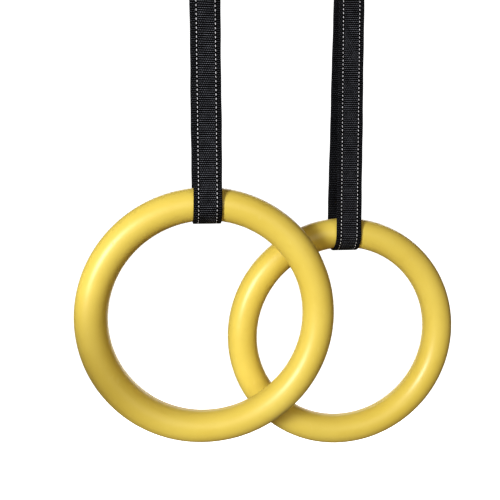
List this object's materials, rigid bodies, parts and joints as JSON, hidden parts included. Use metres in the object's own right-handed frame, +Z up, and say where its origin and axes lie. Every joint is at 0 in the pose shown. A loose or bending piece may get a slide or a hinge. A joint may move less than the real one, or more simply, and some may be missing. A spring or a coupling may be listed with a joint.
{
  "type": "gymnastics rings",
  "caption": "Pair of moulded gymnastics rings hung in webbing loops, each loop with a spring cam buckle and a sewn end.",
  "frame": {"origin": "on the axis of the bar that the loops hang from, at the middle of the left loop's width", "axes": "+Z up, +X along the bar from the left loop towards the right one, +Y towards the back, where the buckles are"},
  "size_m": [0.3835, 0.1064, 0.5688],
  "materials": {
    "ring_abs": "semi-gloss moulded ABS, finely textured",
    "webbing": "woven polyester webbing with two pale dashed yarns",
    "thread": "bonded polyester thread",
    "buckle_steel": "zinc-plated pressed steel",
    "pin_steel": "bright zinc-plated pin",
    "spring_steel": "oiled spring wire"
  },
  "bodies": {
    "bar_turns": {"left_strap_over_bar": "webbing", "right_strap_over_bar": "webbing"},
    "left_hanger": {"left_strap_front_upper": "webbing", "left_strap_sewn_leg": "webbing", "left_strap_tail": "webbing", "left_box_stitch": "thread", "left_buckle_frame": "buckle_steel", "left_buckle_crossbar": "pin_steel", "left_buckle_axle": "pin_steel", "left_buckle_spring": "spring_steel"},
    "left_lever": {"left_buckle_cam_lever": "buckle_steel"},
    "left_middle_runs": {"left_strap_front_middle": "webbing", "left_strap_back_middle": "webbing"},
    "left_lower_runs": {"left_strap_front_lower": "webbing", "left_strap_back_lower": "webbing"},
    "left_sling": {"left_strap_under_tube": "webbing"},
    "left_ring": {"left_ring_front_shell": "ring_abs", "left_ring_back_shell": "ring_abs"},
    "right_hanger": {"right_strap_front_upper": "webbing", "right_strap_sewn_leg": "webbing", "right_strap_tail": "webbing", "right_box_stitch": "thread", "right_buckle_frame": "buckle_steel", "right_buckle_crossbar": "pin_steel", "right_buckle_axle": "pin_steel", "right_buckle_spring": "spring_steel"},
    "right_lever": {"right_buckle_cam_lever": "buckle_steel"},
    "right_middle_runs": {"right_strap_front_middle": "webbing", "right_strap_back_middle": "webbing"},
    "right_lower_runs": {"right_strap_front_lower": "webbing", "right_strap_back_lower": "webbing"},
    "right_sling": {"right_strap_under_tube": "webbing"},
    "right_ring": {"right_ring_front_shell": "ring_abs", "right_ring_back_shell": "ring_abs"}
  },
  "joints": [
    {"name": "left_swing", "type": "hinge", "parent": "bar_turns", "child": "left_hanger", "pos_m": [0, 0, 0], "axis": [1, 0, 0], "range_deg": [-45, 1.5], "deforming": ["left_strap_over_bar"]},
    {"name": "left_cam_press", "type": "hinge", "parent": "left_hanger", "child": "left_lever", "pos_m": [0, 0.01661, -0.05538], "axis": [1, 0, 0], "range_deg": [-25, 0], "stiffness_Nm_per_rad": 0.08, "springref_deg": 20.05},
    {"name": "left_height", "type": "slide", "parent": "left_hanger", "child": "left_middle_runs", "axis": [0, 0, 1], "range_m": [0, 0.06], "deforming": ["left_strap_front_middle", "left_strap_back_middle"]},
    {"name": "left_twist", "type": "hinge", "parent": "left_middle_runs", "child": "left_lower_runs", "pos_m": [0, 0, -0.208], "axis": [0, 0, 1], "range_deg": [-90, 5], "deforming": ["left_strap_front_lower", "left_strap_back_lower"]},
    {"name": "left_tilt", "type": "hinge", "parent": "left_lower_runs", "child": "left_sling", "pos_m": [0, 0, -0.305], "axis": [1, 0, 0], "range_deg": [-80, 3], "deforming": ["left_strap_under_tube"]},
    {"name": "left_spin", "type": "hinge", "parent": "left_sling", "child": "left_ring", "pos_m": [0, 0, -0.41], "axis": [0, 1, 0], "continuous": true},
    {"name": "right_swing", "type": "hinge", "parent": "bar_turns", "child": "right_hanger", "pos_m": [0.1435, 0.0475, 0], "axis": [1, 0, 0], "range_deg": [-1.5, 45], "deforming": ["right_strap_over_bar"]},
    {"name": "right_cam_press", "type": "hinge", "parent": "right_hanger", "child": "right_lever", "pos_m": [0.1435, 0.0639, -0.05545], "axis": [1, 0, 0], "range_deg": [-25, 0], "stiffness_Nm_per_rad": 0.08, "springref_deg": 20.05},
    {"name": "right_height", "type": "slide", "parent": "right_hanger", "child": "right_middle_runs", "axis": [0, 0, 1], "range_m": [0, 0.06], "deforming": ["right_strap_front_middle", "right_strap_back_middle"]},
    {"name": "right_twist", "type": "hinge", "parent": "right_middle_runs", "child": "right_lower_runs", "pos_m": [0.1435, 0.0475, -0.208], "axis": [0, 0, 1], "range_deg": [-90, 5], "deforming": ["right_strap_front_lower", "right_strap_back_lower"]},
    {"name": "right_tilt", "type": "hinge", "parent": "right_lower_runs", "child": "right_sling", "pos_m": [0.1435, 0.0475, -0.338], "axis": [1, 0, 0], "range_deg": [-3, 80], "deforming": ["right_strap_under_tube"]},
    {"name": "right_spin", "type": "hinge", "parent": "right_sling", "child": "right_ring", "pos_m": [0.1435, 0.0475, -0.443], "axis": [0, 1, 0], "continuous": true}
  ]
}
